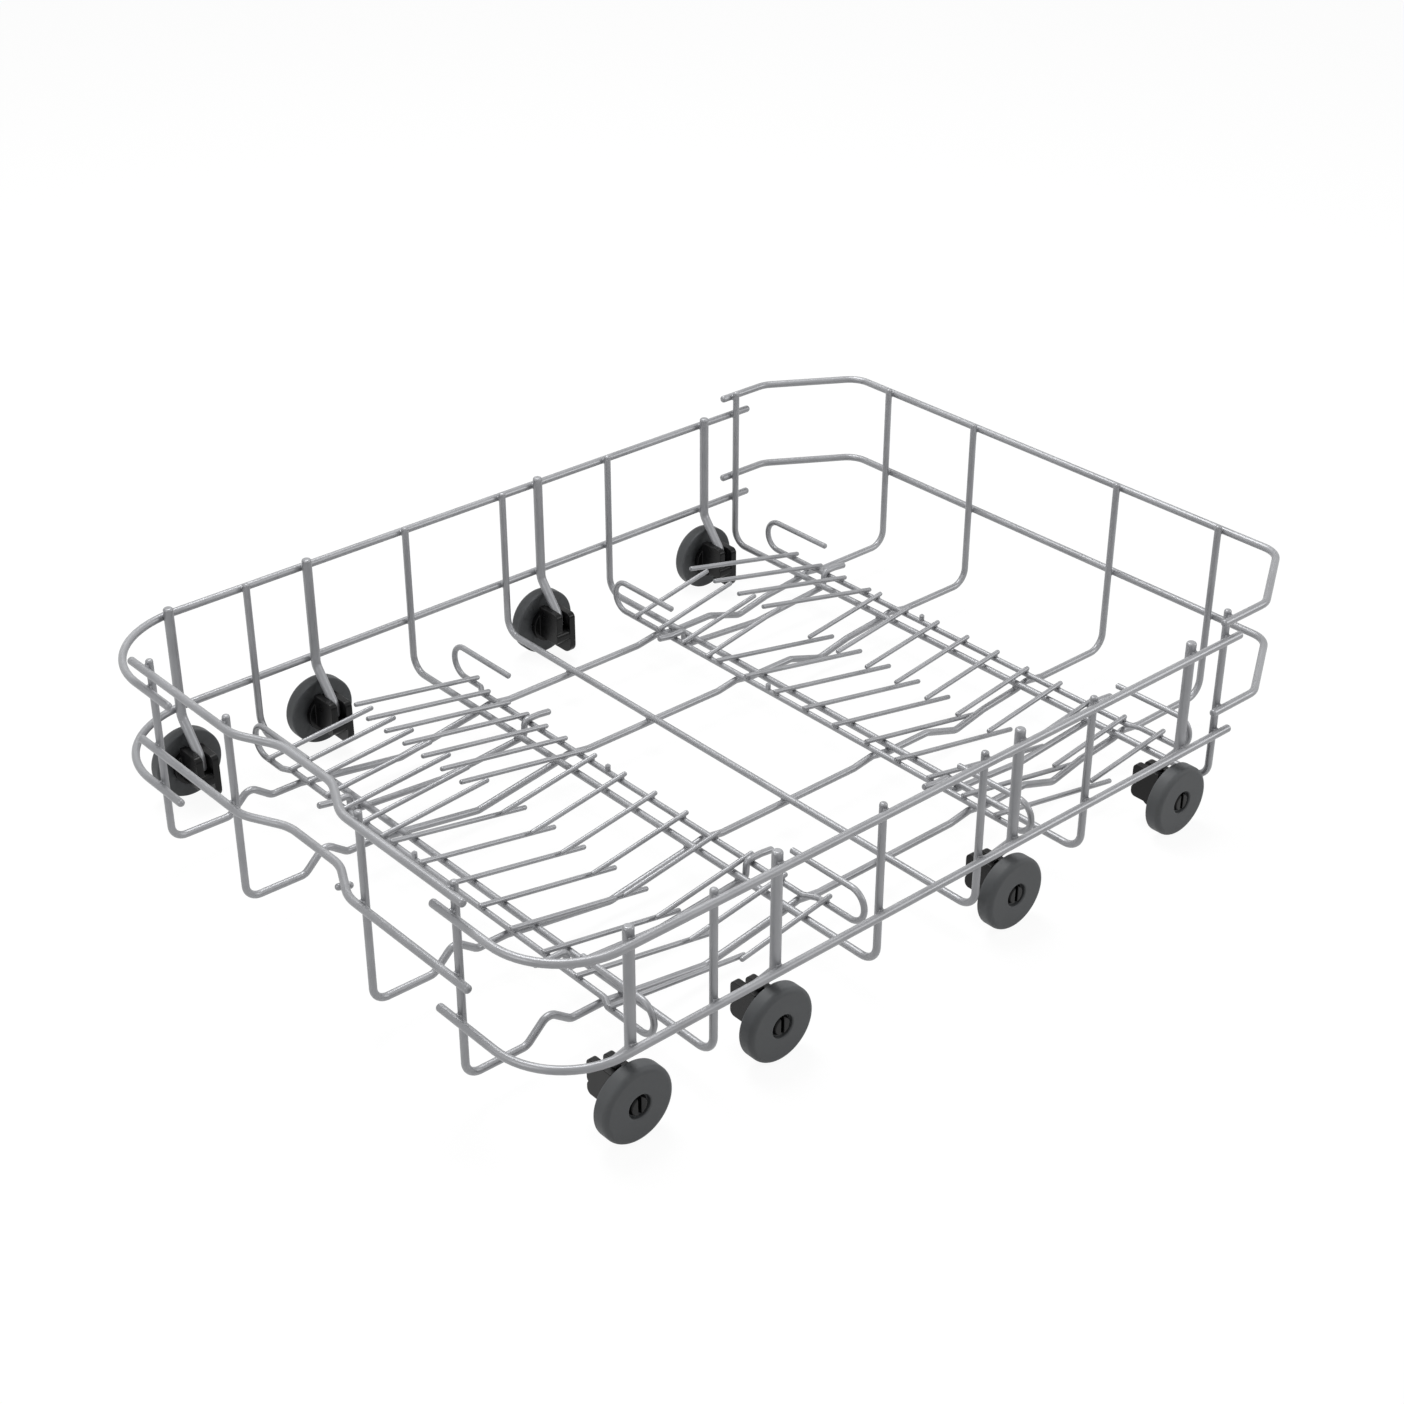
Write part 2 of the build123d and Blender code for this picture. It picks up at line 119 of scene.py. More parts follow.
class BasketFinish(bpy.types.PropertyGroup):
    """Colours and edges of the coated wire, the wheels and the clips."""

    wire_colour: bpy.props.StringProperty(
        name="Wire coating",
        description="Mid grey of the coated wire, sRGB hex",
        default="#a0a1a4",
    )
    wire_shade: bpy.props.StringProperty(
        name="Thin coating",
        description="Grey where the coating ran thin, sRGB hex",
        default="#949598",
    )
    wheel_colour: bpy.props.StringProperty(
        name="Wheel plastic",
        description="Dark grey of the wheels, sRGB hex",
        default="#505254",
    )
    wheel_scuff: bpy.props.StringProperty(
        name="Wheel scuffs",
        description="Paler grey of rubbed places, sRGB hex",
        default="#595b5c",
    )
    clip_colour: bpy.props.StringProperty(
        name="Clip plastic",
        description="Near black of the wheel clips, sRGB hex",
        default="#060607",
    )
    clip_bloom: bpy.props.StringProperty(
        name="Clip bloom",
        description="Greyer bloom on the clips, sRGB hex",
        default="#101011",
    )
    tip_round: bpy.props.FloatProperty(
        name="Tip rounding",
        description="Width of the rounding on wire ends",
        default=0.5 * MM,
        unit="LENGTH",
    )
    wheel_edge: bpy.props.FloatProperty(
        name="Wheel edge",
        description="Width of the rounding at the wheels' hubs",
        default=0.85 * MM,
        unit="LENGTH",
    )
    clip_edge: bpy.props.FloatProperty(
        name="Clip edge",
        description="Width of the easing on the clips' edges",
        default=0.35 * MM,
        unit="LENGTH",
    )


class BasketRims(bpy.types.PropertyGroup):
    """Sweep of the left side rims round their front corner."""

    wrap_radius: bpy.props.FloatProperty(
        name="Wrap radius",
        description="Radius of the sweep at the wire's middle",
        default=54.0 * MM,
        unit="LENGTH",
    )
    upper_reach: bpy.props.FloatProperty(
        name="Upper reach",
        description="How far the upper wire runs on past the solid's end",
        default=11.5 * MM,
        unit="LENGTH",
    )


class BasketWelds(bpy.types.PropertyGroup):
    """Size of the collar of coating that each weld leaves between two wires."""

    reach: bpy.props.FloatProperty(
        name="Reach",
        description="Reach of a collar as a share of the thinner wire's radius",
        default=0.85,
    )
    lobe: bpy.props.FloatProperty(
        name="Lobe",
        description="Extra reach into the corners of a crossing, as such a share",
        default=0.4,
    )
    pinch: bpy.props.FloatProperty(
        name="Pinch",
        description="How hollow a collar is at mid height",
        default=0.18,
        subtype="FACTOR",
    )


class BasketPin(bpy.types.PropertyGroup):
    """Short pin under the lower front rim wire."""

    place: bpy.props.FloatVectorProperty(
        name="Place",
        description="Middle of the pin seen from above",
        default=(30.8 * MM, -259.4 * MM),
        size=2,
        subtype="TRANSLATION",
    )
    along: bpy.props.FloatVectorProperty(
        name="Direction",
        description="Direction of the pin seen from above",
        default=(0.447, 0.894),
        size=2,
    )
    diameter: bpy.props.FloatProperty(
        name="Diameter",
        description="Thickness of the pin",
        default=3.6 * MM,
        unit="LENGTH",
    )
    length: bpy.props.FloatProperty(
        name="Length",
        description="Length of the pin with its domed ends",
        default=9.0 * MM,
        unit="LENGTH",
    )
    sink: bpy.props.FloatProperty(
        name="Sink",
        description="How deep the pin is welded into the rim",
        default=0.15 * MM,
        unit="LENGTH",
    )


class BasketStage(bpy.types.PropertyGroup):
    """Camera, lamps and floor of the studio."""

    camera_place: bpy.props.FloatVectorProperty(
        name="Camera place",
        description="Camera position",
        default=(0.828, -0.737, 0.707),
        subtype="TRANSLATION",
    )
    azimuth: bpy.props.FloatProperty(
        name="Azimuth",
        description="Turn of the view about the vertical",
        default=math.radians(48.70),
        subtype="ANGLE",
    )
    elevation: bpy.props.FloatProperty(
        name="Elevation",
        description="Height angle of the view",
        default=math.radians(30.38),
        subtype="ANGLE",
    )
    roll: bpy.props.FloatProperty(
        name="Roll",
        description="Turn of the view about its own axis",
        default=math.radians(0.03),
        subtype="ANGLE",
    )
    focal_length: bpy.props.FloatProperty(
        name="Focal length",
        description="Lens in millimetres on a 36 mm wide frame",
        default=SENSOR_WIDTH * FOCAL_PIXELS / PICTURE_WIDTH,
    )
    floor_size: bpy.props.FloatProperty(
        name="Floor size",
        description="Side of the floor",
        default=8.0,
        unit="LENGTH",
    )
    floor_colour: bpy.props.StringProperty(
        name="Floor",
        description="Pale grey of the floor paper, sRGB hex",
        default="#d2d2d2",
    )
    shadow: bpy.props.FloatProperty(
        name="Shadow",
        description="Share of light and shade that the floor shows",
        default=0.16,
        subtype="FACTOR",
    )
    lit: bpy.props.FloatProperty(
        name="Lit floor",
        description="How bright the floor paper is out of the shadows",
        default=0.45,
    )
    sky: bpy.props.FloatProperty(
        name="Sky",
        description="Strength of the even light from all round",
        default=0.28,
    )
    top_lamp: bpy.props.FloatProperty(
        name="Top lamp",
        description="Softbox overhead",
        default=16.0,
        unit="POWER",
    )
    side_lamp: bpy.props.FloatProperty(
        name="Side lamp",
        description="Softbox at the front",
        default=4.0,
        unit="POWER",
    )
    rear_lamp: bpy.props.FloatProperty(
        name="Rear lamp",
        description="Low softbox at the back right",
        default=5.0,
        unit="POWER",
    )


# Shared helpers

def linear(code):
    """Linear colour of an sRGB hex value."""
    channels = [int(code[i:i + 2], 16) / 255 for i in (1, 3, 5)]
    return [c / 12.92 if c <= 0.04045 else ((c + 0.055) / 1.055) ** 2.4 for c in channels] + [1.0]


def add_node(tree, kind, values=None, links=None, **settings):
    """Add a node, set its sockets and settings, and link its sockets to other nodes' outputs."""
    node = tree.nodes.new(kind)
    for name, value in settings.items():
        setattr(node, name, value)
    for name, value in (values or {}).items():
        node.inputs[name].default_value = value
    for name, source in (links or {}).items():
        tree.links.new(source, node.inputs[name])
    return node


def new_tree(name):
    """Empty node material and its tree."""
    material = bpy.data.materials.new(name)
    material.use_nodes = True
    material.node_tree.nodes.clear()
    return material, material.node_tree


def per_metre(size_mm):
    """Texture scale at which a pattern repeats about every size_mm."""
    return 1.0 / (size_mm * MM)


def nodes_ending(*endings):
    """Names of the solids that end in one of the endings."""
    return sorted(name for name in NODES if name.endswith(endings))


def set_material(names, material):
    """Put one material on every slot of the named solids."""
    for name in names:
        for slot in NODES[name].material_slots:
            slot.material = material


def ease_edges(names, width, easing):
    """Join the imported faces, round their sharp edges and even out the normals."""
    segments, least_angle = easing
    for name in names:
        solid = NODES[name]
        weld = solid.modifiers.new("join", "WELD")
        weld.merge_threshold = JOIN_GAP
        flat = solid.modifiers.new("flat", "DECIMATE")
        flat.decimate_type = "DISSOLVE"
        flat.angle_limit = FLAT_ANGLE
        bevel = solid.modifiers.new("ease", "BEVEL")
        bevel.width = width
        bevel.segments = segments
        bevel.limit_method = "ANGLE"
        bevel.angle_limit = least_angle
        bevel.use_clamp_overlap = False
        normals = solid.modifiers.new("normals", "WEIGHTED_NORMAL")
        normals.weight = NORMAL_WEIGHT


def box_middle(name):
    """Middle of a solid's box at rest."""
    low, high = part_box(name)
    return (low + high) / 2


def half_width(name, axis):
    """Half of a solid's box along one axis: the radius of a wire that keeps to one plane."""
    low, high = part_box(name)
    return (high[axis] - low[axis]) / 2


def new_piece(name, body, mesh, material):
    """Smooth piece of coated wire made from a mesh, riding on a body."""
    bmesh.ops.recalc_face_normals(mesh, faces=mesh.faces)
    data = bpy.data.meshes.new(name)
    mesh.to_mesh(data)
    mesh.free()
    for face in data.polygons:
        face.use_smooth = True
    data.materials.append(material)
    piece = bpy.data.objects.new(name, data)
    bpy.context.scene.collection.objects.link(piece)
    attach(piece, body)
    return piece


# Materials

def coated_wire():
    """Polyamide-dipped steel wire: a satin grey skin with soft long highlights."""
    finish = bpy.context.scene.basket_finish
    material, tree = new_tree(WIRE_MATERIAL)
    place = add_node(tree, "ShaderNodeTexCoord").outputs["Object"]
    # The dip pools into faint clouds some 25 mm long.
    clouds = add_node(
        tree, "ShaderNodeTexNoise", {"Scale": per_metre(25), "Detail": 3.0}, {"Vector": place}
    ).outputs["Fac"]
    ramp = add_node(tree, "ShaderNodeValToRGB", links={"Fac": clouds})
    ramp.color_ramp.elements[0].position = 0.3
    ramp.color_ramp.elements[0].color = linear(finish.wire_shade)
    ramp.color_ramp.elements[1].position = 0.6
    ramp.color_ramp.elements[1].color = linear(finish.wire_colour)
    gloss = add_node(
        tree,
        "ShaderNodeMapRange",
        {"From Min": 0.3, "From Max": 0.7, "To Min": 0.34, "To Max": 0.42},
        {"Value": clouds},
    )
    # Slow waves of a dipped coat, about 3 mm long, that let the highlights swell and thin.
    waves = add_node(
        tree, "ShaderNodeTexNoise", {"Scale": per_metre(3.0), "Detail": 0.0}, {"Vector": place}
    )
    bump = add_node(
        tree,
        "ShaderNodeBump",
        {"Strength": 0.1, "Distance": 0.04 * MM},
        {"Height": waves.outputs["Fac"]},
    )
    shader = add_node(
        tree,
        "ShaderNodeBsdfPrincipled",
        {"IOR": 1.53, "Metallic": 0.35, "Coat Weight": 0.15, "Coat Roughness": 0.25},
        {
            "Base Color": ramp.outputs["Color"],
            "Roughness": gloss.outputs["Result"],
            "Normal": bump.outputs["Normal"],
        },
    )
    add_node(tree, "ShaderNodeOutputMaterial", links={"Surface": shader.outputs["BSDF"]})
    return material


def wheel_plastic():
    """Injection-moulded polypropylene, matt from a sparked mould, rubbed paler in patches."""
    finish = bpy.context.scene.basket_finish
    material, tree = new_tree("moulded_polypropylene")
    place = add_node(tree, "ShaderNodeTexCoord").outputs["Object"]
    # Rubbed patches some 9 mm across.
    patches = add_node(
        tree,
        "ShaderNodeTexNoise",
        {"Scale": per_metre(9), "Detail": 4.0, "Roughness": 0.6},
        {"Vector": place},
    ).outputs["Fac"]
    ramp = add_node(tree, "ShaderNodeValToRGB", links={"Fac": patches})
    ramp.color_ramp.elements[0].position = 0.35
    ramp.color_ramp.elements[0].color = linear(finish.wheel_colour)
    ramp.color_ramp.elements[1].position = 0.75
    ramp.color_ramp.elements[1].color = linear(finish.wheel_scuff)
    gloss = add_node(
        tree,
        "ShaderNodeMapRange",
        {"From Min": 0.3, "From Max": 0.7, "To Min": 0.52, "To Max": 0.64},
        {"Value": patches},
    )
    # Spark texture of the mould, about 0.2 mm, drawn at 0.7 mm so that it shows.
    spark = add_node(
        tree, "ShaderNodeTexNoise", {"Scale": per_metre(0.7), "Detail": 2.0}, {"Vector": place}
    )
    bump = add_node(
        tree,
        "ShaderNodeBump",
        {"Strength": 0.2, "Distance": 0.05 * MM},
        {"Height": spark.outputs["Fac"]},
    )
    shader = add_node(
        tree,
        "ShaderNodeBsdfPrincipled",
        {"IOR": 1.49, "Specular IOR Level": 0.4},
        {
            "Base Color": ramp.outputs["Color"],
            "Roughness": gloss.outputs["Result"],
            "Normal": bump.outputs["Normal"],
        },
    )
    add_node(tree, "ShaderNodeOutputMaterial", links={"Surface": shader.outputs["BSDF"]})
    return material


def clip_plastic():
    """Injection-moulded acetal, near black and half glossy, with a faint grey bloom."""
    finish = bpy.context.scene.basket_finish
    material, tree = new_tree("moulded_acetal")
    place = add_node(tree, "ShaderNodeTexCoord").outputs["Object"]
    # Bloom in streaks some 5 mm long.
    bloom = add_node(
        tree, "ShaderNodeTexNoise", {"Scale": per_metre(5), "Detail": 3.0}, {"Vector": place}
    ).outputs["Fac"]
    ramp = add_node(tree, "ShaderNodeValToRGB", links={"Fac": bloom})
    ramp.color_ramp.elements[0].position = 0.4
    ramp.color_ramp.elements[0].color = linear(finish.clip_colour)
    ramp.color_ramp.elements[1].position = 0.8
    ramp.color_ramp.elements[1].color = linear(finish.clip_bloom)
    gloss = add_node(
        tree,
        "ShaderNodeMapRange",
        {"From Min": 0.3, "From Max": 0.7, "To Min": 0.26, "To Max": 0.36},
        {"Value": bloom},
    )
    # Flow marks of the mould, finer than this, drawn at 1 mm so that they show.
    flow = add_node(
        tree, "ShaderNodeTexNoise", {"Scale": per_metre(1.0), "Detail": 1.0}, {"Vector": place}
    )
    bump = add_node(
        tree,
        "ShaderNodeBump",
        {"Strength": 0.1, "Distance": 0.05 * MM},
        {"Height": flow.outputs["Fac"]},
    )
    shader = add_node(
        tree,
        "ShaderNodeBsdfPrincipled",
        {"IOR": 1.48, "Specular IOR Level": 0.22},
        {
            "Base Color": ramp.outputs["Color"],
            "Roughness": gloss.outputs["Result"],
            "Normal": bump.outputs["Normal"],
        },
    )
    add_node(tree, "ShaderNodeOutputMaterial", links={"Surface": shader.outputs["BSDF"]})
    return material


def seen_white(tree):
    """Output that is 1 for camera, mirror and glass rays, which see white, and 0 for the rest."""
    rays = add_node(tree, "ShaderNodeLightPath").outputs
    seen = add_node(
        tree,
        "ShaderNodeMath",
        links={0: rays["Is Camera Ray"], 1: rays["Is Glossy Ray"]},
        operation="MAXIMUM",
    )
    every = add_node(
        tree,
        "ShaderNodeMath",
        links={0: seen.outputs[0], 1: rays["Is Transmission Ray"]},
        operation="MAXIMUM",
    )
    return every.outputs[0]


def floor_paper():
    """Matt white studio paper that shows a soft part of the shadows."""
    stage = bpy.context.scene.basket_stage
    material, tree = new_tree("matt_studio_paper")
    place = add_node(tree, "ShaderNodeTexCoord").outputs["Object"]
    # Paper fibre, finer than a millimetre, drawn at 4 mm so that it shows.
    fibre = add_node(
        tree, "ShaderNodeTexNoise", {"Scale": per_metre(4), "Detail": 2.0}, {"Vector": place}
    )
    bump = add_node(
        tree,
        "ShaderNodeBump",
        {"Strength": 0.02, "Distance": 0.1 * MM},
        {"Height": fibre.outputs["Fac"]},
    )
    paper = add_node(
        tree,
        "ShaderNodeBsdfDiffuse",
        {"Color": linear(stage.floor_colour)},
        {"Normal": bump.outputs["Normal"]},
    )
    # Out of the shadows the two shares come to 1, which is white.
    rest = (1.0 - stage.shadow * stage.lit) / (1.0 - stage.shadow)
    white = add_node(tree, "ShaderNodeEmission", {"Color": WHITE, "Strength": rest})
    share = add_node(
        tree,
        "ShaderNodeMapRange",
        {"To Min": 1.0, "To Max": stage.shadow},
        {"Value": seen_white(tree)},
    )
    mix = add_node(
        tree,
        "ShaderNodeMixShader",
        links={
            "Fac": share.outputs["Result"],
            1: white.outputs["Emission"],
            2: paper.outputs["BSDF"],
        },
    )
    add_node(tree, "ShaderNodeOutputMaterial", links={"Surface": mix.outputs["Shader"]})
    return material


# Meshes

def bridge(mesh, rings):
    """Close each ring of points to the next with faces."""
    for low_ring, high_ring in zip(rings, rings[1:]):
        for i in range(ROUND_STEPS):
            k = (i + 1) % ROUND_STEPS
            mesh.faces.new((low_ring[i], low_ring[k], high_ring[k], high_ring[i]))


def cap(mesh, spot, ring):
    """Close a ring of points to one spot with faces."""
    tip = mesh.verts.new(spot)
    for i in range(ROUND_STEPS):
        mesh.faces.new((tip, ring[i], ring[(i + 1) % ROUND_STEPS]))


def rod(mesh, path, radius):
    """Round wire with domed ends along a level path."""
    angles = [k * math.pi / 2 / DOME_STEPS for k in range(1, DOME_STEPS + 1)]
    domes = []
    for end, inner in ((path[0], path[1]), (path[-1], path[-2])):
        inward = (inner - end).normalized()
        domes.append([
            (end + inward * (radius * (1 - math.cos(a))), inward, radius * math.sin(a))
            for a in angles
        ])
    stations = domes[0]
    for before, spot, after in zip(path, path[1:], path[2:]):
        stations.append((spot, (after - before).normalized(), radius))
    stations += [(spot, -inward, r) for spot, inward, r in reversed(domes[1])]
    turns = [2 * math.pi * i / ROUND_STEPS for i in range(ROUND_STEPS)]
    rings = []
    for spot, heading, r in stations:
        across = heading.cross(Z_AXIS)
        rings.append([
            mesh.verts.new(spot + across * (r * math.cos(a)) + Z_AXIS * (r * math.sin(a)))
            for a in turns
        ])
    bridge(mesh, rings)
    cap(mesh, path[0], rings[0])
    cap(mesh, path[-1], rings[-1])


def collar(mesh, centre, upper_axis, upper_r, lower_axis, lower_r, normal):
    """Ring of coating where two wires cross; the upper wire is on the normal's side."""
    welds = bpy.context.scene.basket_welds
    thin_r = min(upper_r, lower_r)
    rings = []
    for j in range(COLLAR_STEPS + 1):
        t = j / COLLAR_STEPS
        ring = []
        for i in range(ROUND_STEPS):
            turn = 2 * math.pi * i / ROUND_STEPS
            reach = thin_r * (welds.reach + welds.lobe * math.sin(2 * turn) ** 2)
            off_upper = min(reach * abs(math.sin(turn)), COLLAR_CLIMB * upper_r)
            off_lower = min(reach * abs(math.cos(turn)), COLLAR_CLIMB * lower_r)
            high = upper_r - math.sqrt(upper_r ** 2 - off_upper ** 2)
            low = lower_r - math.sqrt(lower_r ** 2 - off_lower ** 2)
            height = t * high - (1 - t) * low
            out = reach * (1 - welds.pinch * math.sin(math.pi * t))
            side = upper_axis * (out * math.cos(turn)) + lower_axis * (out * math.sin(turn))
            ring.append(mesh.verts.new(centre + side + normal * height))
        rings.append(ring)
    bridge(mesh, rings)
    cap(mesh, centre - normal * COLLAR_DEPTH * lower_r, rings[0])
    cap(mesh, centre + normal * COLLAR_DEPTH * upper_r, rings[-1])


def weld_piece(name, body, crossings):
    """One mesh with a collar at each crossing, riding on a body."""
    mesh = bmesh.new()
    for crossing in crossings:
        collar(mesh, *crossing)
    new_piece(name, body, mesh, bpy.data.materials[WIRE_MATERIAL])


def tub_crossings():
    """Crossings of fixed wires: middle, upper axis and radius, lower axis and radius, normal."""
    found = []
    rim_r = half_width("back_upper_rim_wire", 2)
    # Floor: longitudinal and hinge wires under the cross wires
    under = {name: [f"{long}_longitudinal_wire" for long in LONG_NAMES] for name in CROSS_NAMES}
    for rack, crosses in RACKS.items():
        for name in crosses:
            under[name] += [f"{rack}_{side}_hinge_wire" for side in SIDES]
    for name, lower_wires in under.items():
        cross = f"{name}_cross_wire"
        low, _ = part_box(cross)
        cross_r = half_width(cross, 1)
        for wire in lower_wires:
            spot = Vector((box_middle(wire).x, box_middle(cross).y, low.z))
            found.append((spot, X_AXIS, cross_r, Y_AXIS, half_width(wire, 0), Z_AXIS))
    # Sides: uprights inside the side rims and the ends of the back rims
    uprights = [f"{name}_cross_wire" for name in CROSS_NAMES]
    for side, sign in SIDES.items():
        for post in uprights + [f"{side}_{name}_wheel_wire" for name in WHEEL_NAMES]:
            low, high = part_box(post)
            x = high.x if sign > 0 else low.x
            post_r = half_width(post, 1)
            rims = [f"{side}_{level}_rim_wire" for level in LEVELS]
            if post == "fifth_cross_wire":
                rims += [f"back_{level}_rim_wire" for level in LEVELS]
            for rim in rims:
                spot = Vector((x, box_middle(post).y, box_middle(rim).z))
                found.append((spot, Y_AXIS, rim_r, Z_AXIS, post_r, X_AXIS * sign))
    # Front and back: uprights of the longitudinal wires inside the rims
    for long in LONG_NAMES:
        post = f"{long}_longitudinal_wire"
        low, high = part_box(post)
        post_r = half_width(post, 0)
        for level in LEVELS:
            rims = [(f"front_{level}_rim_wire", low.y, -1), (f"back_{level}_rim_wire", high.y, 1)]
            if long.endswith("outer"):
                rims.append((f"{long.split('_')[0]}_{level}_rim_wire", low.y, -1))
            for rim, y, sign in rims:
                spot = Vector((box_middle(post).x, y, box_middle(rim).z))
                found.append((spot, X_AXIS, rim_r, Z_AXIS, post_r, Y_AXIS * sign))
    return found


def tine_crossings(row):
    """Weld of each tine of a row on its bar, in the same order of values."""
    tines = NODES[f"{row}_tines"].data
    joint = next(j for j in frame["joints"] if j["child"] == f"{row}_row")
    bar_z = joint["pos_m"][2]
    tail_sign = -1 if row.endswith("_front") else 1
    groups = []
    for spot in sorted({tuple(round(c, 7) for c in v.co) for v in tines.vertices}):
        if not groups or spot[0] - groups[-1][-1].x > TINE_SPACE:
            groups.append([])
        groups[-1].append(Vector(spot))
    found = []
    for points in groups:
        middle_y = (min(p.y for p in points) + max(p.y for p in points)) / 2
        halves = [
            [p for p in points if sign * (p.y - middle_y) > 0] for sign in (tail_sign, -tail_sign)
        ]
        # Each half holds whole rings of points, so its mean lies on the tine's axis.
        tail, tip = (sum(half, Vector()) / len(half) for half in halves)
        along = (tip - tail).normalized()
        rise = (TINE_R + BAR_R - TINE_SINK) / math.hypot(along.x, along.y)
        reach = (bar_z + rise - tail.z) / along.z
        normal = X_AXIS.cross(along) if along.y > 0 else along.cross(X_AXIS)
        spot = tail + along * reach - normal * TINE_R
        found.append((spot, along, TINE_R, X_AXIS, BAR_R, normal))
    return found


# Operators

class BASKET_OT_coat_wires(bpy.types.Operator):
    """Coat every wire of the tub, the hinge wires, bars and tines, and round their ends"""

    bl_idname = "basket.coat_wires"
    bl_label = "Coat the wires"

    def execute(self, context):
        bars = nodes_ending("_tine_bar")
        wires = nodes_ending("_wire", "_tines")
        set_material(bars + wires, coated_wire())
        # A bar keeps its own facets, because its stop pin cuts them into odd shapes.
        ease_edges(wires, context.scene.basket_finish.tip_round, TIP_EASING)
        return {"FINISHED"}


class BASKET_OT_sweep_left_rims(bpy.types.Operator):
    """Sweep the left side rims round their front corner in one bend, in place of the solids' two"""

    bl_idname = "basket.sweep_left_rims"
    bl_label = "Sweep the left rims"

    def execute(self, context):
        rims = context.scene.basket_rims
        sweep = rims.wrap_radius
        reach = {"upper": rims.upper_reach, "lower": 0.0}
        for level in LEVELS:
            solid = f"left_{level}_rim_wire"
            low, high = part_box(solid)
            radius = half_width(solid, 2)
            z = box_middle(solid).z
            side_x = low.x + radius
            front_y = low.y + radius
            path = [Vector((side_x, high.y, z))]
            for k in range(BEND_STEPS + 1):
                turn = math.pi / 2 * k / BEND_STEPS
                x = side_x + sweep * (1 - math.cos(turn))
                y = front_y + sweep * (1 - math.sin(turn))
                path.append(Vector((x, y, z)))
            path.append(Vector((high.x + reach[level], front_y, z)))
            mesh = bmesh.new()
            rod(mesh, path, radius)
            material = bpy.data.materials[WIRE_MATERIAL]
            piece = new_piece(f"left_{level}_swept_rim", "frame", mesh, material)
            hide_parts(solid)
        return {"FINISHED"}


class BASKET_OT_lay_welds(bpy.types.Operator):
    """Lay a collar of coating round every weld"""

    bl_idname = "basket.lay_welds"
    bl_label = "Lay the welds"

    def execute(self, context):
        weld_piece("tub_welds", "frame", tub_crossings())
        for row in ROWS:
            weld_piece(f"{row}_tine_welds", f"{row}_row", tine_crossings(row))
        return {"FINISHED"}


class BASKET_OT_add_stub_pin(bpy.types.Operator):
    """Add the short pin welded crosswise under the lower front rim"""

    bl_idname = "basket.add_stub_pin"
    bl_label = "Add the stub pin"

    def execute(self, context):
        pin = context.scene.basket_pin
        rim = "front_lower_rim_wire"
        radius = pin.diameter / 2
        z = box_middle(rim).z - half_width(rim, 2) - radius + pin.sink
        middle = Vector((*pin.place, z))
        half = Vector((*pin.along, 0)).normalized() * (pin.length / 2)
        mesh = bmesh.new()
        rod(mesh, [middle - half, middle + half], radius)
        new_piece("front_stub_pin", "frame", mesh, bpy.data.materials[WIRE_MATERIAL])
        return {"FINISHED"}


class BASKET_OT_finish_wheels(bpy.types.Operator):
    """Give the wheels and their clips their moulded plastics and eased edges"""

    bl_idname = "basket.finish_wheels"
    bl_label = "Finish the wheels and clips"

    def execute(self, context):
        finish = context.scene.basket_finish
        wheels = nodes_ending("_wheel")
        clips = nodes_ending("_wheel_clips")
        set_material(wheels, wheel_plastic())
        set_material(clips, clip_plastic())
        ease_edges(wheels, finish.wheel_edge, WHEEL_EASING)
        ease_edges(clips, finish.clip_edge, CLIP_EASING)
        return {"FINISHED"}


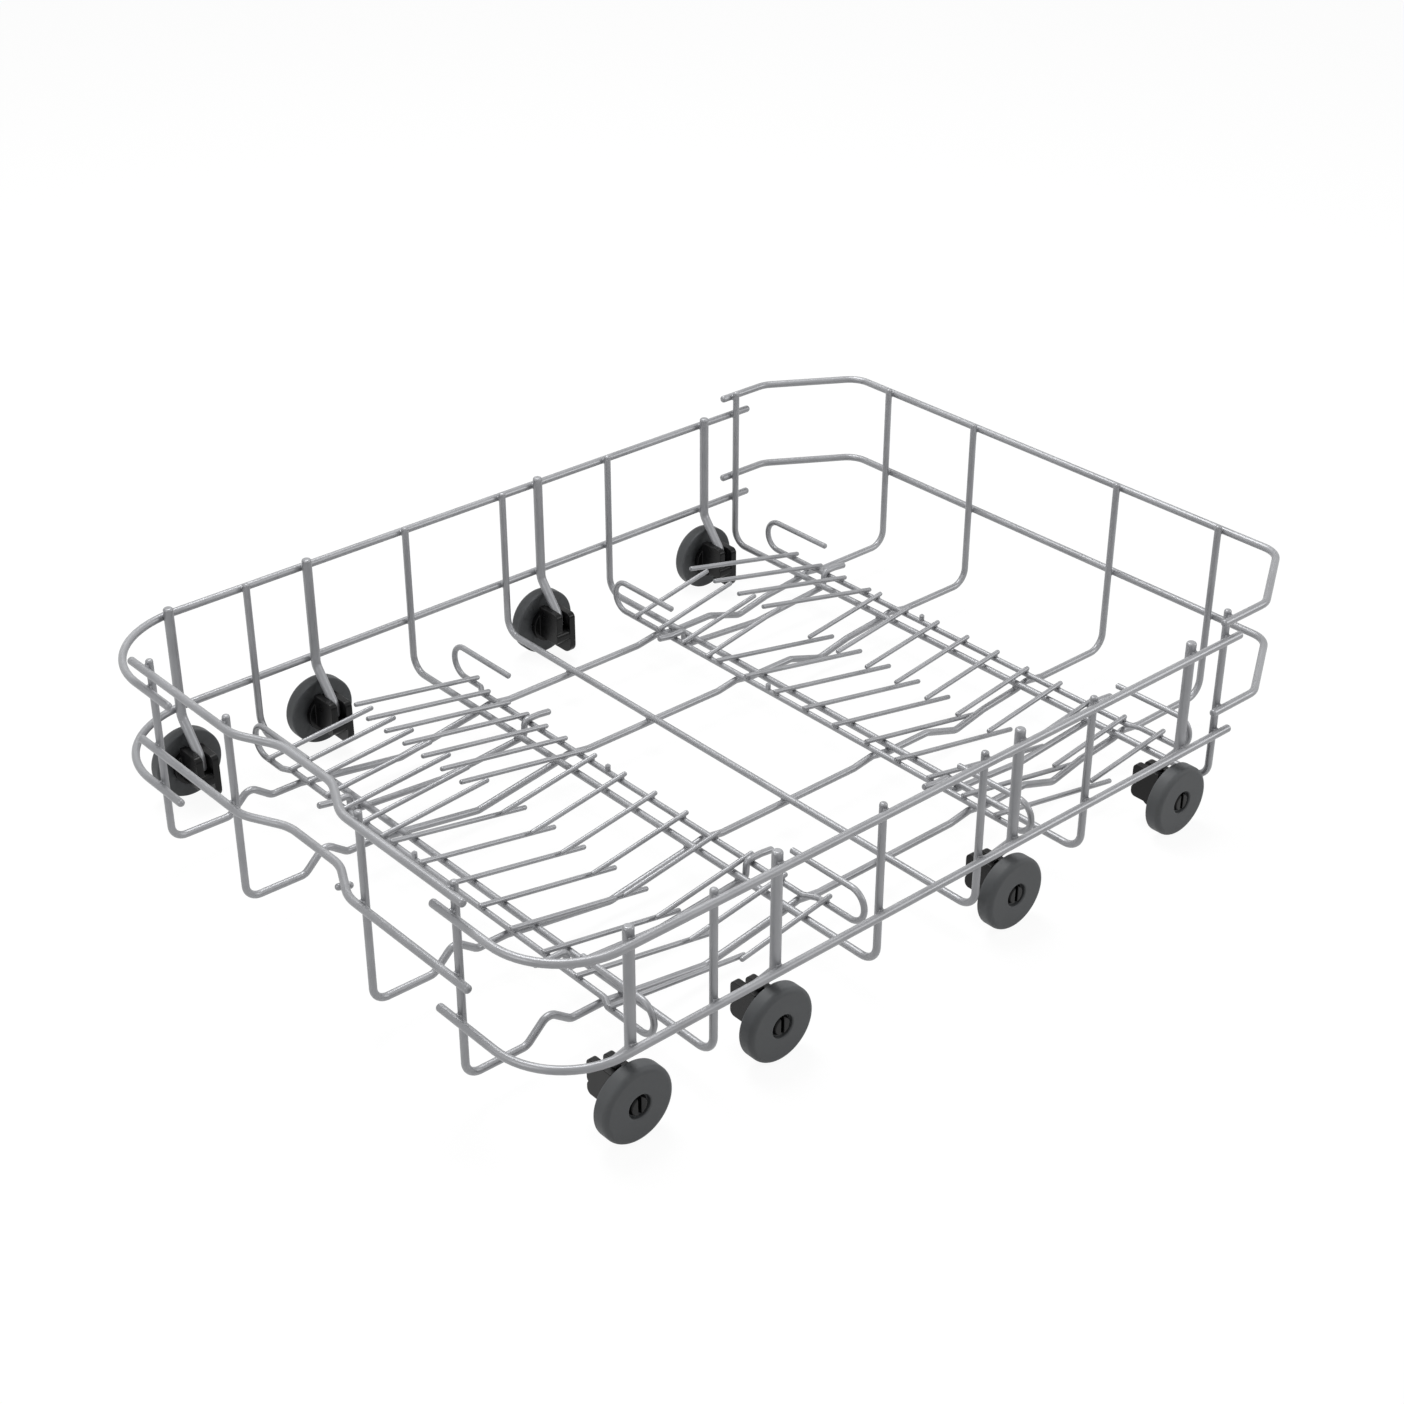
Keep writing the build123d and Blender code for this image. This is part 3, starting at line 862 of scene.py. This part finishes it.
class BASKET_OT_set_stage(bpy.types.Operator):
    """Lay the floor, hang the lamps and set the camera"""

    bl_idname = "basket.set_stage"
    bl_label = "Set the stage"

    def execute(self, context):
        scene = context.scene
        stage = scene.basket_stage
        scene.view_settings.view_transform = "Standard"
        half = stage.floor_size / 2
        corners = [(-half, -half, 0), (half, -half, 0), (half, half, 0), (-half, half, 0)]
        data = bpy.data.meshes.new("studio_floor")
        data.from_pydata(corners, [], [(0, 1, 2, 3)])
        data.materials.append(floor_paper())
        floor = bpy.data.objects.new("studio_floor", data)
        scene.collection.objects.link(floor)

        world = bpy.data.worlds.new("studio")
        scene.world = world
        world.use_nodes = True
        tree = world.node_tree
        tree.nodes.clear()
        level = add_node(
            tree,
            "ShaderNodeMapRange",
            {"To Min": stage.sky, "To Max": 1.0},
            {"Value": seen_white(tree)},
        )
        back = add_node(
            tree,
            "ShaderNodeBackground",
            {"Color": WHITE},
            {"Strength": level.outputs["Result"]},
        )
        add_node(tree, "ShaderNodeOutputWorld", links={"Surface": back.outputs["Background"]})

        for name, (size, place) in LAMPS.items():
            lamp = bpy.data.lights.new(name, "AREA")
            lamp.shape = "SQUARE"
            lamp.size = size
            lamp.energy = getattr(stage, name)
            holder = bpy.data.objects.new(name, lamp)
            holder.location = place
            aim = LAMP_AIM - Vector(place)
            holder.rotation_euler = aim.to_track_quat("-Z", "Y").to_euler()
            scene.collection.objects.link(holder)

        turn = stage.azimuth
        rise = stage.elevation
        level_back = Vector((math.sin(turn), -math.cos(turn), 0))
        backward = level_back * math.cos(rise) + Z_AXIS * math.sin(rise)
        right = Vector((math.cos(turn), math.sin(turn), 0))
        up = backward.cross(right)
        rolled_right = right * math.cos(stage.roll) + up * math.sin(stage.roll)
        rolled_up = up * math.cos(stage.roll) - right * math.sin(stage.roll)
        lens = bpy.data.cameras.new("camera")
        lens.sensor_width = SENSOR_WIDTH
        lens.lens = stage.focal_length
        camera = bpy.data.objects.new("camera", lens)
        axes = Matrix((rolled_right, rolled_up, backward)).transposed().to_4x4()
        camera.matrix_world = Matrix.Translation(Vector(stage.camera_place)) @ axes
        scene.collection.objects.link(camera)
        scene.camera = camera
        return {"FINISHED"}


class VIEW3D_PT_basket(bpy.types.Panel):
    """Lists the sizes and the steps that dress the basket"""

    bl_label = "Basket"
    bl_space_type = "VIEW_3D"
    bl_region_type = "UI"
    bl_category = "Basket"

    def draw(self, context):
        for group in GROUPS:
            settings = getattr(context.scene, group)
            for name in settings.__annotations__:
                self.layout.prop(settings, name)
        for operator in OPERATORS:
            self.layout.operator(operator.bl_idname)


GROUPS = {
    "basket_finish": BasketFinish,
    "basket_rims": BasketRims,
    "basket_welds": BasketWelds,
    "basket_pin": BasketPin,
    "basket_stage": BasketStage,
}
OPERATORS = (
    BASKET_OT_coat_wires,
    BASKET_OT_sweep_left_rims,
    BASKET_OT_lay_welds,
    BASKET_OT_add_stub_pin,
    BASKET_OT_finish_wheels,
    BASKET_OT_set_stage,
)


def register():
    """Register the classes and hang the settings on the scene."""
    for group in GROUPS.values():
        bpy.utils.register_class(group)
    for operator in OPERATORS:
        bpy.utils.register_class(operator)
    bpy.utils.register_class(VIEW3D_PT_basket)
    for name, group in GROUPS.items():
        setattr(bpy.types.Scene, name, bpy.props.PointerProperty(type=group))


def unregister():
    """Take the settings and the classes away again."""
    for name in GROUPS:
        delattr(bpy.types.Scene, name)
    bpy.utils.unregister_class(VIEW3D_PT_basket)
    for operator in reversed(OPERATORS):
        bpy.utils.unregister_class(operator)
    for group in reversed(list(GROUPS.values())):
        bpy.utils.unregister_class(group)


def main():
    """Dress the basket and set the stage."""
    register()
    bpy.ops.basket.coat_wires()
    bpy.ops.basket.sweep_left_rims()
    bpy.ops.basket.lay_welds()
    bpy.ops.basket.add_stub_pin()
    bpy.ops.basket.finish_wheels()
    bpy.ops.basket.set_stage()


if __name__ == "__main__":
    main()
